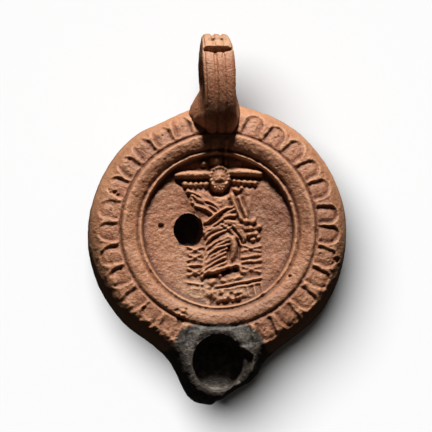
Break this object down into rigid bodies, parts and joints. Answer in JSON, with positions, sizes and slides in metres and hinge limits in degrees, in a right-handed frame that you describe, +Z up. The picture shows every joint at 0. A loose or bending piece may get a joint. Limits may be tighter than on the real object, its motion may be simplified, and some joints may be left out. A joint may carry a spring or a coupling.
{
  "type": "roman oil lamp",
  "caption": "Round terracotta oil lamp with a sunk picture disc, stamped shoulder band, short wick nozzle and pierced lug handle.",
  "frame": {"origin": "centre of the flat base, at the bottom of the lamp, on the axis of the round body", "axes": "+Z up, +Y towards the handle, -Y towards the nozzle, +X to the right seen from above with the handle away"},
  "size_m": [0.0799, 0.1132, 0.0393],
  "materials": {
    "fired_clay": "matt fired clay with soot at the nozzle"
  },
  "bodies": {
    "root": {"lamp": "fired_clay"}
  },
  "joints": []
}
